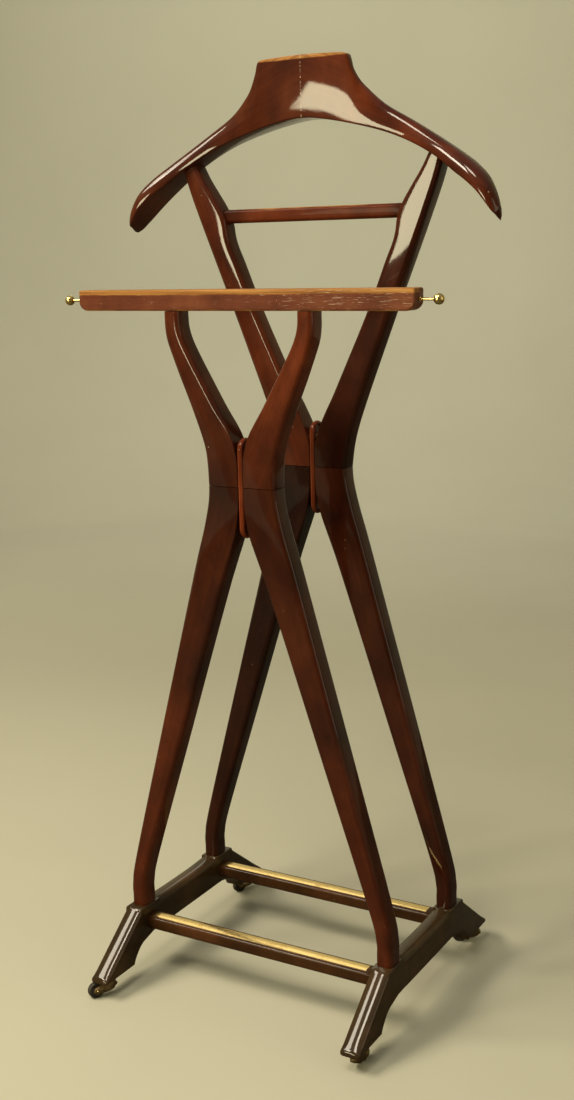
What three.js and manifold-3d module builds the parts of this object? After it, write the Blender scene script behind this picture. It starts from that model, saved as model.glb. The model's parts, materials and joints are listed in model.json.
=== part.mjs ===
// A mahogany and brass valet stand: two waisted frames on a pair of footed rails, with a
// coat hanger and a trouser bar on the rear frame and a dressing board on the front one.
// Millimetres. +X is the viewer's right, +Y the back and +Z up; the floor is z = 0.

import * as THREE from 'three';
import { mergeVertices } from 'three/addons/utils/BufferGeometryUtils.js';
import Module from 'manifold-3d';

const { lerp, smoothstep } = THREE.MathUtils;
const wasm = await Module();
wasm.setup();

// Driving dimensions
const GAP = 0.3; // left between two faces that touch
const FRAME_Y = 81.5; // middle plane of each frame, before and behind the centre
const FRAME_DEPTH = 26.5;
const ARRIS = 6; // rounding along the edges of the legs and arms

const RAIL_X = 168.5;
const RAIL_WIDTH = 23.5;
const RAIL_BOTTOM = 48;
const RAIL_CROWN = 84; // top of the arched middle of the rail, which sweeps up to the seats
const RAIL_ARCH = 6; // how far the arch falls from its crown to its sides
const LAND_TOP = 86; // flat seat of each leg
const LAND_START = 66;
const LAND_END = 103;
const FOOT_BOTTOM = 21.3;
const FOOT_HEEL = 123.5;
const FOOT_TIP = 180;
const TIP_THICKNESS = 5;
const TIP_ROUND = 3; // rounding of the tip, in plan and over its top

const RUNG_Y = 82;
const RUNG_DEPTH = 22;
const RUNG_BOTTOM = 57;
const RUNG_TOP = 72.5;
const STRIP_WIDTH = 15;
const STRIP_THICKNESS = 2;
const STRIP_LEFT = -152;
const STRIP_RIGHT = 143;

const JOINT_Z = 620; // where the upper arms stand on the lower legs
const WAIST_HALF = 43.6;
const WAIST_ARRIS = 0.8;
const SPACER_THICKNESS = 6.5;
const SPACER_LOW = 561.5;
const SPACER_HIGH = 674;
const SPACER_PROUD = 0.8;

const BOARD_BOTTOM = 812;
const BOARD_TOP = 835;
const BOARD_HALF = 211;
const BOARD_DEPTH = 23;
const KNOB_X = 232.5;
const KNOB_R = 5.75;
const KNOB_STEM_R = 1.5;

const BAR_X = 118.2; // half-length of the trouser bar
const BAR_LOW = 907;
const BAR_HIGH = 923;
const BAR_DEPTH = 14;

const HANGER_HALF = 242;
const NECK_HALF = 59;
const NECK_TOP = 1088;

const CASTER_Y = 162;
const WHEEL_R = 10;
const WHEEL_WIDTH = 8;
const TRAIL = 16;
const AXLE_R = 1.2;
const DOWEL_R = 4;

const wood = new THREE.MeshStandardMaterial({ color: 0x4b1e10, roughness: 0.25, metalness: 0 });
const wornWood = new THREE.MeshStandardMaterial({ color: 0x8a4a22, roughness: 0.4, metalness: 0 });
const dowelWood = new THREE.MeshStandardMaterial({ color: 0xb08a5a, roughness: 0.7, metalness: 0 });
const brass = new THREE.MeshStandardMaterial({ color: 0xc79a3e, roughness: 0.3, metalness: 1 });
const agedBrass = new THREE.MeshStandardMaterial({ color: 0x6e5326, roughness: 0.5, metalness: 1 });
const tread = new THREE.MeshStandardMaterial({ color: 0x1c1613, roughness: 0.6, metalness: 0 });

const stand = new THREE.Group();

function add(name, geometry, material) {
  const mesh = new THREE.Mesh(geometry, material);
  mesh.name = name;
  stand.add(mesh);
  return mesh;
}

// Joining and cutting
function toSolid(geometry) {
  const bare = geometry.clone();
  bare.deleteAttribute('normal');
  bare.deleteAttribute('uv');
  const merged = mergeVertices(bare, 1e-4);
  return new wasm.Manifold(
    new wasm.Mesh({
      numProp: 3,
      vertProperties: new Float32Array(merged.attributes.position.array),
      triVerts: new Uint32Array(merged.index.array),
    }),
  );
}

function toGeometry(solid) {
  const { vertProperties, triVerts } = solid.getMesh();
  const geometry = new THREE.BufferGeometry();
  geometry.setAttribute('position', new THREE.BufferAttribute(vertProperties, 3));
  geometry.setIndex(new THREE.BufferAttribute(triVerts, 1));
  geometry.computeVertexNormals();
  return geometry;
}

const cut = (geometry, ...tools) =>
  toGeometry(tools.reduce((solid, tool) => solid.subtract(toSolid(tool)), toSolid(geometry)));
const join = (geometry, ...others) =>
  toGeometry(others.reduce((solid, other) => solid.add(toSolid(other)), toSolid(geometry)));

// A closed solid through a row of sections with the same number of points: a cylinder whose
// rings are moved onto the sections.
function loft(sections) {
  const sides = sections[0].length;
  const steps = sections.length - 1;
  const geometry = new THREE.CylinderGeometry(1, 1, 1, sides, steps);
  const position = geometry.attributes.position;
  const centres = sections.map((ring) =>
    ring.reduce((sum, p) => sum.add(p), new THREE.Vector3()).divideScalar(sides),
  );
  for (let i = 0; i < position.count; i++) {
    const step = Math.round((0.5 - position.getY(i)) * steps);
    const [x, z] = [position.getX(i), position.getZ(i)];
    const turn = Math.round((Math.atan2(x, z) / (2 * Math.PI)) * sides);
    const atAxis = Math.hypot(x, z) < 0.5;
    const point = atAxis ? centres[step] : sections[step][(turn + sides) % sides];
    position.setXYZ(i, point.x, point.y, point.z);
  }
  geometry.computeVertexNormals();
  return geometry;
}

// A rounded rectangle about the origin, as points in order round it.
function roundedRectangle(halfWidth, halfHeight, radius, arcSteps = 3) {
  const points = [];
  for (let corner = 0; corner < 4; corner++) {
    const [sx, sy] = [[1, 1], [-1, 1], [-1, -1], [1, -1]][corner];
    for (let i = 0; i <= arcSteps; i++) {
      const angle = ((corner + i / arcSteps) * Math.PI) / 2;
      points.push(
        new THREE.Vector2(
          sx * (halfWidth - radius) + radius * Math.cos(angle),
          sy * (halfHeight - radius) + radius * Math.sin(angle),
        ),
      );
    }
  }
  return points;
}

// A shape drawn in y and z, extruded from x = from to x = to, with its edges rounded.
function alongX(shape, from, to, round = 0, steps = 2) {
  const geometry = new THREE.ExtrudeGeometry(shape, extrusion(to - from, round, steps));
  geometry.translate(0, 0, round);
  const turn = new THREE.Matrix4().makeBasis(
    new THREE.Vector3(0, 1, 0), new THREE.Vector3(0, 0, 1), new THREE.Vector3(1, 0, 0),
  );
  return geometry.applyMatrix4(turn).translate(from, 0, 0);
}

// A shape drawn in x and z, extruded from y = from to y = to, with its edges rounded.
function alongY(shape, from, to, round = 0, steps = 2) {
  const geometry = new THREE.ExtrudeGeometry(shape, extrusion(to - from, round, steps));
  geometry.translate(0, 0, round);
  const turn = new THREE.Matrix4().makeBasis(
    new THREE.Vector3(1, 0, 0), new THREE.Vector3(0, 0, 1), new THREE.Vector3(0, -1, 0),
  );
  return geometry.applyMatrix4(turn).translate(0, to, 0);
}

function extrusion(length, round, steps) {
  return {
    depth: length - 2 * round,
    curveSegments: 6,
    bevelEnabled: round > 0,
    bevelThickness: round,
    bevelSize: round,
    bevelOffset: -round,
    bevelSegments: steps,
  };
}

// A round rod from one point to another.
function rod(from, to, radius, sides = 12) {
  const axis = new THREE.Vector3().subVectors(to, from);
  const geometry = new THREE.CylinderGeometry(radius, radius, axis.length(), sides);
  const turn = new THREE.Quaternion().setFromUnitVectors(
    new THREE.Vector3(0, 1, 0), axis.clone().normalize(),
  );
  const middle = new THREE.Vector3().addVectors(from, to).multiplyScalar(0.5);
  return geometry.applyQuaternion(turn).translate(middle.x, middle.y, middle.z);
}

const at = (x, y, z) => new THREE.Vector3(x, y, z);

// A hole for a rod, larger than it all round by the gap.
const holeFor = (from, to, radius) => {
  const reach = new THREE.Vector3().subVectors(to, from).normalize().multiplyScalar(GAP);
  return rod(from.clone().sub(reach), to.clone().add(reach), radius + GAP);
};

// The side of a leg or an arm is a curve of x against z.
const side = (...points) => new THREE.SplineCurve(points.map(([x, z]) => new THREE.Vector2(x, z)));

// x on such a curve at one height.
function xAt(curve, z) {
  let [low, high] = [0, 1];
  for (let i = 0; i < 40; i++) {
    const middle = (low + high) / 2;
    if (curve.getPoint(middle).y < z) low = middle;
    else high = middle;
  }
  return curve.getPoint(low).x;
}

// The level section of a limb. Its inner arrises narrow as its inner side nears the waist, where
// they are almost sharp against the spacer.
function limbSection(x0, x1) {
  const [halfWidth, halfDepth] = [(x1 - x0) / 2, FRAME_DEPTH / 2];
  const innerArris = lerp(WAIST_ARRIS, ARRIS, smoothstep(x0, 6, 30));
  const ring = roundedRectangle(halfWidth, halfDepth, ARRIS, 2);
  for (const p of ring.filter(({ x }) => x < 0)) {
    const corner = new THREE.Vector2(-halfWidth, Math.sign(p.y) * halfDepth);
    p.sub(corner).multiplyScalar(innerArris / ARRIS).add(corner);
  }
  return ring;
}

// A leg or arm: level sections between an inner and an outer side, on the right at centreY.
function limb(inner, outer, heights, centreY) {
  return loft(
    heights.map((z) => {
      const [x0, x1] = [xAt(inner, z), xAt(outer, z)];
      return limbSection(x0, x1).map((p) => at((x0 + x1) / 2 + p.x, centreY - p.y, z));
    }),
  );
}

const mirrored = (geometry) => {
  const copy = geometry.index ? geometry.toNonIndexed() : geometry.clone();
  copy.scale(-1, 1, 1);
  const position = copy.attributes.position;
  for (let i = 0; i < position.count; i += 3) {
    const [a, c] = [i + 1, i + 2].map((j) => new THREE.Vector3().fromBufferAttribute(position, j));
    position.setXYZ(i + 1, c.x, c.y, c.z);
    position.setXYZ(i + 2, a.x, a.y, a.z);
  }
  copy.computeVertexNormals();
  return copy;
};

// Adds a right-hand piece and its mirror image on the left.
function addPair(name, geometry, material) {
  add(name + '_right', geometry, material);
  add(name + '_left', mirrored(geometry), material);
}

const PLATE_SIDE = SPACER_THICKNESS / 2 + GAP;

// Lower legs: straight tapered shanks that turn upright at the rail and at the waist.
const LEG_FOOT = LAND_TOP + GAP;
const legInner = side(
  [158.5, LEG_FOOT - 10], [158.5, 98], [158, 114], [149, 150], [98.6, 300], [48.4, 450], [20, 533],
  [9, 567], [4.6, 590], [PLATE_SIDE, 604], [PLATE_SIDE, JOINT_Z + 10],
);
const legOuter = side(
  [178, LEG_FOOT - 10], [178, 98], [177.6, 115], [170.6, 150], [129, 300], [87, 450], [64, 532],
  [52.5, 570], [45.3, 600], [WAIST_HALF, JOINT_Z], [WAIST_HALF, JOINT_Z + 12],
);
const legHeights = [
  LEG_FOOT, 98, 108, 118, 128, 139, 152, 250, 350, 450, 520, 545, 562, 577, 590, 604, JOINT_Z - GAP,
];

// Upper arms. The front pair turns upright under the board; the rear pair runs on to the hanger
// and swells where the trouser bar enters it.
const frontInner = side(
  [PLATE_SIDE, JOINT_Z - 10], [PLATE_SIDE, 636], [4.6, 654], [12.8, 680], [35.8, 720], [59, 760],
  [69.3, 780], [73.8, 795], [74.5, BOARD_BOTTOM], [74.5, BOARD_BOTTOM + 12],
);
const frontOuter = side(
  [WAIST_HALF, JOINT_Z - 10], [WAIST_HALF, JOINT_Z], [46.4, 660], [60, 700], [76.6, 740], [85.4, 762],
  [91.6, 779], [94, 793], [94.3, BOARD_BOTTOM], [94.3, BOARD_BOTTOM + 12],
);
const frontHeights = [
  JOINT_Z + GAP, 636, 648, 660, 672, 686, 702, 730, 758, 769, 779, 788, 797, BOARD_BOTTOM - GAP,
];
const rearInner = side(
  [PLATE_SIDE, JOINT_Z - 10], [PLATE_SIDE, 636], [5, 652], [15.5, 680], [34.6, 720], [72.8, 800],
  [98, 860], [106.4, 879], [110.4, 892], [112.2, 904], [115, 915], [121.5, 927], [130, 940], [143.4, 960],
  [152, 976], [160, 990],
);
const rearOuter = side(
  [WAIST_HALF, JOINT_Z - 10], [WAIST_HALF, JOINT_Z], [49.5, 655], [64.8, 700], [104.2, 800],
  [136.8, 880], [152.8, 920], [163, 947], [170, 970], [174, 990],
);
const REAR_CUT = 988; // above the slanting underside of the hanger
const rearHeights = [
  JOINT_Z + GAP, 636, 648, 660, 672, 686, 702, 740, 790, 840, 878, 890, 900, 912, 926, 936, 948, 960,
  972, REAR_CUT,
];

// Joint dowels, each from its lower or left end to its other end, with its radius.
const legDowel = (y) => [at(RAIL_X, y, 62), at(RAIL_X, y, 112), DOWEL_R];
const armDowel = (y) => [at(23.5, y, 600), at(23.5, y, 642), DOWEL_R];
const waistDowel = (y, z) => [at(-20, y, z), at(20, y, z), DOWEL_R];
const boardDowel = [at(84.4, -FRAME_Y, 792), at(84.4, -FRAME_Y, 826), DOWEL_R];
const HANGER_JOINT = at(159.5, FRAME_Y, 972);
const alongArm = at(Math.sin(0.39), 0, Math.cos(0.39));
const hangerDowel = [
  HANGER_JOINT.clone().addScaledVector(alongArm, -18),
  HANGER_JOINT.clone().addScaledVector(alongArm, 9),
  DOWEL_R - 0.5,
];
const barTenon = [at(BAR_X - 6, FRAME_Y, 915), at(BAR_X + 12, FRAME_Y, 915), 4.5];
const LOWER_WAIST_Z = 588;
const UPPER_WAIST_Z = 655;

// Half of the dowel across a waist, as it lies in the right-hand limb.
const waistSeat = (y, z) => holeFor(at(0, y, z), waistDowel(y, z)[1], DOWEL_R);

// Hanger, by distance out from the middle: the crest of its back-swept arms, in height and in
// depth, and the two edges of the flat underside.
const hangerCrest = side(
  [-40, NECK_TOP], [0, NECK_TOP + 1], [40, NECK_TOP], [NECK_HALF - 4, NECK_TOP - 1.5],
  [NECK_HALF, NECK_TOP - 6], [60.4, 1077], [63, 1070], [68.2, 1060], [75.8, 1050.5], [97.8, 1030.5],
  [132, 1010.5], [165.3, 990.5], [197, 970.5], [212, 959.5], [224, 948.5], [232.5, 936], [238.5, 924],
  [HANGER_HALF, 912], [HANGER_HALF + 1, 906],
);
const crestDepth = side(
  [-40, 68.6], [0, 68.6], [55, 68.6], [77, 73], [115, 77], [150, 77], [166, 75.5], [190, 72], [214, 67.5],
  [226, 64.5], [236, 60.5], [HANGER_HALF, 58], [HANGER_HALF + 4, 57],
);
const hangerUnder = side(
  [-43.5, 1014.8], [0, 1020.6], [43.5, 1014.8], [93, 1002.5], [128.8, 989], [163, 971], [191, 951],
  [205, 939.5], [218, 926], [229, 911.5], [235, 903], [239, 900], [HANGER_HALF, 905], [HANGER_HALF + 2, 912],
);
const frontEdge = side(
  [-45, 61], [0, 60], [45, 61], [80, 64.5], [110, 66], [135, 65], [163, 61], [185, 55.5], [208, 48.5],
  [226, 45.5], [236, 47.5], [HANGER_HALF, 54], [HANGER_HALF + 2, 56],
);
const backEdge = side(
  [-45, 98.6], [0, 98.6], [160, 98.6], [190, 97.5], [205, 95], [220, 88], [232, 77], [238, 68.5],
  [HANGER_HALF, 62], [HANGER_HALF + 2, 59],
);

// The second coordinate of a curve where the first one is x.
function valueAt(curve, x) {
  let [low, high] = [0, 1];
  for (let i = 0; i < 40; i++) {
    const middle = (low + high) / 2;
    if (curve.getPoint(middle).x < x) low = middle;
    else high = middle;
  }
  return curve.getPoint(low).y;
}

// One section of the hanger: a flat underside, a front and a back that round over to the crest.
// On the neck the front is upright, the back leans in and the crest is a flat strip.
function hangerSection(x) {
  const s = Math.abs(x);
  const top = valueAt(hangerCrest, s);
  const under = valueAt(hangerUnder, s);
  const [front, back, crest] = [frontEdge, backEdge, crestDepth].map((curve) => valueAt(curve, s));
  const neck = smoothstep(top - under, 24, 62);
  const flat = lerp(0.6, 4.8, smoothstep(62 - s, 0, 6));
  const edge = Math.min(2, (top - under) * 0.2);
  const lift = 7 * smoothstep(s, 185, 236);
  const overRound = (from, foot, fullness, step) => [
    crest + Math.sign(from - crest) * flat + (from - crest - Math.sign(from - crest) * flat) *
      Math.cos((step * Math.PI) / 2) ** fullness,
    foot + (top - foot) * Math.sin((step * Math.PI) / 2) ** fullness,
  ];
  const backFullness = lerp(0.85, 1.75, neck);
  const frontFullness = lerp(0.8, 0.22, neck);
  const points = [
    [front + edge, under + lift],
    [back - edge, under],
    ...[0, 0.25, 0.5, 0.75, 1].map((step) => overRound(back, under + edge, backFullness, step)),
    ...[1, 0.75, 0.5, 0.25, 0].map((step) => overRound(front, under + lift + edge, frontFullness, step)),
  ];
  return points.map(([y, z]) => at(x, y, z));
}

function hanger() {
  const half = [
    0, 20, 40, 50, 55, 57.5, 59, 60.4, 62.5, 65, 68.5, 73, 80, 90, 104, 120, 138, 154, 170, 186, 200, 212,
    222, 230, 236, 239.5, 241.3, HANGER_HALF,
  ];
  const stations = [...half.slice(1).map((x) => -x).reverse(), ...half];
  return loft(stations.reverse().map(hangerSection));
}

// Rails: an arched bar with a flat seat under each leg and a sloping foot at each end.
function railTop(s) {
  if (s < LAND_START) return lerp(RAIL_CROWN, LAND_TOP, (Math.max(s - 15, 0) / (LAND_START - 15)) ** 2);
  if (s <= LAND_END) return LAND_TOP;
  return lerp(LAND_TOP, FOOT_BOTTOM + TIP_THICKNESS, (s - LAND_END) / (FOOT_TIP - LAND_END));
}

const railUnder = new THREE.SplineCurve(
  [[0, RAIL_BOTTOM], [40, RAIL_BOTTOM], [76, RAIL_BOTTOM], [92, 46], [108, 39.5], [119, 29],
    [FOOT_HEEL, FOOT_BOTTOM]].map(([s, z]) => new THREE.Vector2(s, z)),
);

function railSection(y) {
  const s = Math.abs(y);
  const under = s >= FOOT_HEEL ? FOOT_BOTTOM : valueAt(railUnder, s);
  const alongTip = Math.max(s - FOOT_TIP, -TIP_ROUND) / TIP_ROUND + 1;
  const rounded = TIP_ROUND * (1 - Math.sqrt(1 - alongTip ** 2));
  const top = railTop(s) - rounded;
  const height = top - under;
  const onLand = s > LAND_START - 1 && s < LAND_END + 1;
  const arch = onLand ? 0.6 : Math.min(RAIL_ARCH, height * 0.5);
  const edge = Math.min(1.2, height * 0.2);
  const half = RAIL_WIDTH / 2 - rounded;
  const points = [[half - edge, under], [half, under + edge]];
  for (let i = 0; i <= 8; i++) {
    const u = Math.cos((i * Math.PI) / 8);
    points.push([half * u, top - arch * (onLand ? Math.abs(u) ** 12 : 1 - Math.sqrt(1 - u * u * 0.98))]);
  }
  points.push([-half, under + edge], [edge - half, under]);
  return points.map(([x, z]) => at(RAIL_X + x, y, z));
}

function sideRail() {
  const half = [
    0, 15, 32, 46, 56, LAND_START - 2, LAND_START, 78, 90, LAND_END - 0.5, 106, 110, 114, 118, 121.5,
    FOOT_HEEL, 132, 145, 160, 172, FOOT_TIP - TIP_ROUND, 178.5, 179.5, FOOT_TIP,
  ];
  const stations = [...half.slice(1).map((y) => -y).reverse(), ...half];
  const blank = loft(stations.map(railSection));
  const seats = [-1, 1].flatMap((end) => [
    holeFor(...legDowel(end * FRAME_Y)),
    holeFor(...rungTenon(end)),
    holeFor(...casterStem(end)),
  ]);
  return cut(blank, ...seats);
}

const RUNG_MIDDLE = (RUNG_TOP + RUNG_BOTTOM) / 2;
const rungTenon = (end) => [
  at(RAIL_X - RAIL_WIDTH / 2 - 6, end * RUNG_Y, RUNG_MIDDLE),
  at(RAIL_X - RAIL_WIDTH / 2 + 6, end * RUNG_Y, RUNG_MIDDLE),
  5.5,
];
const STEM_TOP = 32;
const casterStem = (end) => [
  at(RAIL_X, end * CASTER_Y, FOOT_BOTTOM - 1), at(RAIL_X, end * CASTER_Y, STEM_TOP), 2,
];

// Rungs between the rails, each with a brass strip let into its top.
function rung(end) {
  const ends = RAIL_X - RAIL_WIDTH / 2 - GAP;
  const half = (RUNG_TOP - RUNG_BOTTOM) / 2;
  const profile = new THREE.Shape(
    roundedRectangle(RUNG_DEPTH / 2, half, 3.5, 3).map((p) =>
      p.add(new THREE.Vector2(end * RUNG_Y, RUNG_BOTTOM + half)),
    ),
  );
  const tenons = [1, -1].map((hand) => {
    const [a, b, r] = rungTenon(end);
    return rod(at(hand * a.x, a.y, a.z), at(hand * b.x, b.y, b.z), r, 16);
  });
  const floor = RUNG_TOP - STRIP_THICKNESS + 0.6;
  const groove = new THREE.BoxGeometry(STRIP_RIGHT - STRIP_LEFT + 2 * GAP, STRIP_WIDTH + 2 * GAP, 10);
  groove.translate((STRIP_LEFT + STRIP_RIGHT) / 2, end * RUNG_Y, floor + 5 - GAP);
  return cut(join(alongX(profile, -ends, ends), ...tenons), groove);
}

function brassStrip(end) {
  const profile = new THREE.Shape(
    roundedRectangle(STRIP_WIDTH / 2, STRIP_THICKNESS / 2, 0.6, 2).map((p) =>
      p.add(new THREE.Vector2(end * RUNG_Y, RUNG_TOP - STRIP_THICKNESS / 2 + 0.6)),
    ),
  );
  return alongX(profile, STRIP_LEFT, STRIP_RIGHT);
}

// The thin plate between the halves of a frame, with rounded edges that stand proud.
function spacer(end) {
  const middle = (SPACER_LOW + SPACER_HIGH) / 2;
  const outline = new THREE.Shape(
    roundedRectangle(FRAME_DEPTH / 2 + SPACER_PROUD, (SPACER_HIGH - SPACER_LOW) / 2, 13, 5).map((p) =>
      p.add(new THREE.Vector2(end * FRAME_Y, middle)),
    ),
  );
  const plate = alongX(outline, -SPACER_THICKNESS / 2, SPACER_THICKNESS / 2, 2.4);
  const dowels = [LOWER_WAIST_Z, UPPER_WAIST_Z].map((z) => holeFor(...waistDowel(end * FRAME_Y, z)));
  return cut(plate, ...dowels);
}

// The dressing board: square above, with its lower corners rounded off.
function board() {
  const round = 11;
  const outline = new THREE.Shape();
  outline.moveTo(-BOARD_HALF, BOARD_TOP);
  outline.lineTo(-BOARD_HALF, BOARD_BOTTOM + round);
  outline.absarc(-BOARD_HALF + round, BOARD_BOTTOM + round, round, Math.PI, 1.5 * Math.PI);
  outline.lineTo(BOARD_HALF - round, BOARD_BOTTOM);
  outline.absarc(BOARD_HALF - round, BOARD_BOTTOM + round, round, 1.5 * Math.PI, 2 * Math.PI);
  outline.lineTo(BOARD_HALF, BOARD_TOP);
  outline.closePath();
  const [front, back] = [-FRAME_Y - BOARD_DEPTH / 2, -FRAME_Y + BOARD_DEPTH / 2];
  const blank = alongY(outline, front, back, 2.2);
  const [a, b, r] = boardDowel;
  const dowels = [1, -1].map((hand) => holeFor(at(hand * a.x, a.y, a.z), at(hand * b.x, b.y, b.z), r));
  const pins = [1, -1].map((hand) => holeFor(...knobStem(hand)));
  return cut(blank, ...dowels, ...pins);
}

const KNOB_Z = (BOARD_BOTTOM + BOARD_TOP) / 2;
const knobStem = (hand) => [
  at(hand * (BOARD_HALF - 12), -FRAME_Y, KNOB_Z), at(hand * KNOB_X, -FRAME_Y, KNOB_Z), KNOB_STEM_R,
];

// A turned brass finial: a ball on a thin stem, lathed about the x axis.
function knob() {
  const [start] = knobStem(1);
  const profile = [new THREE.Vector2(0, start.x), new THREE.Vector2(KNOB_STEM_R, start.x)];
  const neck = Math.asin(KNOB_STEM_R / KNOB_R);
  for (let i = 0; i <= 10; i++) {
    const angle = neck + ((Math.PI - neck) * i) / 10;
    profile.push(
      new THREE.Vector2(Math.max(KNOB_R * Math.sin(angle), 0), KNOB_X - KNOB_R * Math.cos(angle)),
    );
  }
  profile[profile.length - 1].x = 0;
  const geometry = new THREE.LatheGeometry(profile, 16);
  return geometry.rotateZ(-Math.PI / 2).translate(0, -FRAME_Y, KNOB_Z);
}

// The section of the trouser bar, or of the housing for it, which is larger all round.
function barProfile(extra) {
  const half = (BAR_HIGH - BAR_LOW) / 2;
  const ring = roundedRectangle(BAR_DEPTH / 2 + extra, half + extra, 4 + extra, 3);
  return new THREE.Shape(ring.map((p) => p.add(new THREE.Vector2(FRAME_Y, BAR_LOW + half))));
}

// The trouser bar, with a round tenon at each end.
function trouserBar() {
  const [a, b, r] = barTenon;
  const tenons = [1, -1].map((hand) => rod(at(hand * a.x, a.y, a.z), at(hand * b.x, b.y, b.z), r));
  return join(alongX(barProfile(0), -BAR_X, BAR_X), ...tenons);
}

// Casters, drawn with their pivot on the z axis and their wheel trailing along +X.
const PLATE_BOTTOM = FOOT_BOTTOM - 1.7;
const HORN_TOP = PLATE_BOTTOM - GAP;
const HORN_HALF_WIDTH = WHEEL_WIDTH / 2 + 2.2;
const PINTLE_R = 1.6;
const HEAD_TOP = 10;

// A turned plate under the foot, with a pin up into the foot and a riveted pintle below.
function casterPlate() {
  const profile = [
    [0, HEAD_TOP - 1.4], [2.9, HEAD_TOP - 1.4], [2.9, HEAD_TOP], [PINTLE_R, HEAD_TOP],
    [PINTLE_R, PLATE_BOTTOM], [9, PLATE_BOTTOM], [10, PLATE_BOTTOM + 0.6], [10, FOOT_BOTTOM - GAP],
    [2, FOOT_BOTTOM - GAP], [2, STEM_TOP - 1], [0, STEM_TOP - GAP],
  ];
  const points = profile.map(([r, z]) => new THREE.Vector2(r, z));
  return new THREE.LatheGeometry(points, 16).rotateX(Math.PI / 2);
}

// The horn: a cast body with a bump for a nose, forked round the wheel.
function casterHorn() {
  const outline = new THREE.Shape();
  outline.moveTo(6, HORN_TOP);
  outline.lineTo(-6.5, HORN_TOP);
  outline.quadraticCurveTo(-7.5, 16, -10, 14.8);
  outline.quadraticCurveTo(-12, 12.5, -9.6, 10.6);
  outline.quadraticCurveTo(-5, 8.4, 0, 7);
  outline.lineTo(TRAIL - 3, WHEEL_R - 4);
  outline.absarc(TRAIL, WHEEL_R, 4.6, 1.3 * Math.PI, 2.3 * Math.PI);
  outline.quadraticCurveTo(11, HORN_TOP - 1, 6, HORN_TOP);
  const plan = new THREE.Shape();
  plan.moveTo(TRAIL + 6, -HORN_HALF_WIDTH);
  plan.lineTo(TRAIL + 6, HORN_HALF_WIDTH);
  plan.lineTo(-1, HORN_HALF_WIDTH);
  plan.quadraticCurveTo(-6.5, HORN_HALF_WIDTH, -7.5, 3.2);
  plan.quadraticCurveTo(-12.5, 3, -12.5, 0);
  plan.quadraticCurveTo(-12.5, -3, -7.5, -3.2);
  plan.quadraticCurveTo(-6.5, -HORN_HALF_WIDTH, -1, -HORN_HALF_WIDTH);
  plan.closePath();
  const column = new THREE.ExtrudeGeometry(plan, extrusion(30, 0)).translate(0, 0, -2);
  const block = alongY(outline, -HORN_HALF_WIDTH - 1, HORN_HALF_WIDTH + 1);
  const room = WHEEL_WIDTH / 2 + 0.6;
  return cut(
    toGeometry(toSolid(block).intersect(toSolid(column))),
    rod(at(TRAIL, -room, WHEEL_R), at(TRAIL, room, WHEEL_R), WHEEL_R + 0.8, 32),
    rod(at(0, 0, 0), at(0, 0, 30), PINTLE_R + GAP, 16),
    rod(at(0, 0, 0), at(0, 0, HEAD_TOP + GAP), 3.3, 16),
    rod(at(TRAIL, -10, WHEEL_R), at(TRAIL, 10, WHEEL_R), AXLE_R + GAP),
  );
}

function casterAxle() {
  const half = HORN_HALF_WIDTH + 0.5;
  return rod(at(TRAIL, -half, WHEEL_R), at(TRAIL, half, WHEEL_R), AXLE_R);
}

function casterWheel() {
  const half = WHEEL_WIDTH / 2;
  const bore = AXLE_R + GAP;
  const profile = [
    [bore, -half], [4, -half], [4.6, 0.8 - half], [8, 0.8 - half], [9, 0.4 - half], [WHEEL_R, 1.8 - half],
    [WHEEL_R, half - 1.8], [9, half - 0.4], [8, half - 0.8], [4.6, half - 0.8], [4, half], [bore, half],
    [bore, -half],
  ];
  return new THREE.LatheGeometry(profile.map(([r, y]) => new THREE.Vector2(r, y)), 24)
    .translate(TRAIL, 0, WHEEL_R);
}

// Each caster is swivelled to where it came to rest, in degrees from +X.
const casters = [
  { name: 'front_left', hand: -1, end: -1, heading: -120 },
  { name: 'front_right', hand: 1, end: -1, heading: 92 },
  { name: 'rear_left', hand: -1, end: 1, heading: -110 },
  { name: 'rear_right', hand: 1, end: 1, heading: -155 },
];

for (const { name, hand, end, heading } of casters) {
  const parts = [
    ['caster_plate_', casterPlate, agedBrass], ['caster_horn_', casterHorn, agedBrass],
    ['caster_axle_', casterAxle, brass], ['caster_wheel_', casterWheel, tread],
  ];
  for (const [prefix, make, material] of parts) {
    const mesh = add(prefix + name, make(), material);
    mesh.position.set(hand * RAIL_X, end * CASTER_Y, 0);
    mesh.rotation.z = THREE.MathUtils.degToRad(heading);
  }
}

// Rails, rungs and strips
addPair('side_rail', sideRail(), wood);
for (const [place, end] of [['front', -1], ['rear', 1]]) {
  add(place + '_rung', rung(end), wood);
  add(place + '_rung_strip', brassStrip(end), brass);
  add(place + '_waist_spacer', spacer(end), wood);

  const y = end * FRAME_Y;
  const leg = cut(
    limb(legInner, legOuter, legHeights, y),
    holeFor(...legDowel(y)), holeFor(...armDowel(y)), waistSeat(y, LOWER_WAIST_Z),
  );
  addPair(place + '_leg', leg, wood);
  addPair(place + '_leg_dowel', rod(...legDowel(y)), dowelWood);
  addPair(place + '_arm_dowel', rod(...armDowel(y)), dowelWood);
  add(place + '_waist_dowel_lower', rod(...waistDowel(y, LOWER_WAIST_Z)), dowelWood);
  add(place + '_waist_dowel_upper', rod(...waistDowel(y, UPPER_WAIST_Z)), dowelWood);
}

// Front arms, board and knobs
const frontArm = cut(
  limb(frontInner, frontOuter, frontHeights, -FRAME_Y),
  holeFor(...armDowel(-FRAME_Y)), holeFor(...boardDowel), waistSeat(-FRAME_Y, UPPER_WAIST_Z),
);
addPair('front_arm', frontArm, wood);
add('dressing_board', board(), wornWood);
addPair('board_dowel', rod(...boardDowel), dowelWood);
addPair('board_knob', knob(), brass);

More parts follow.
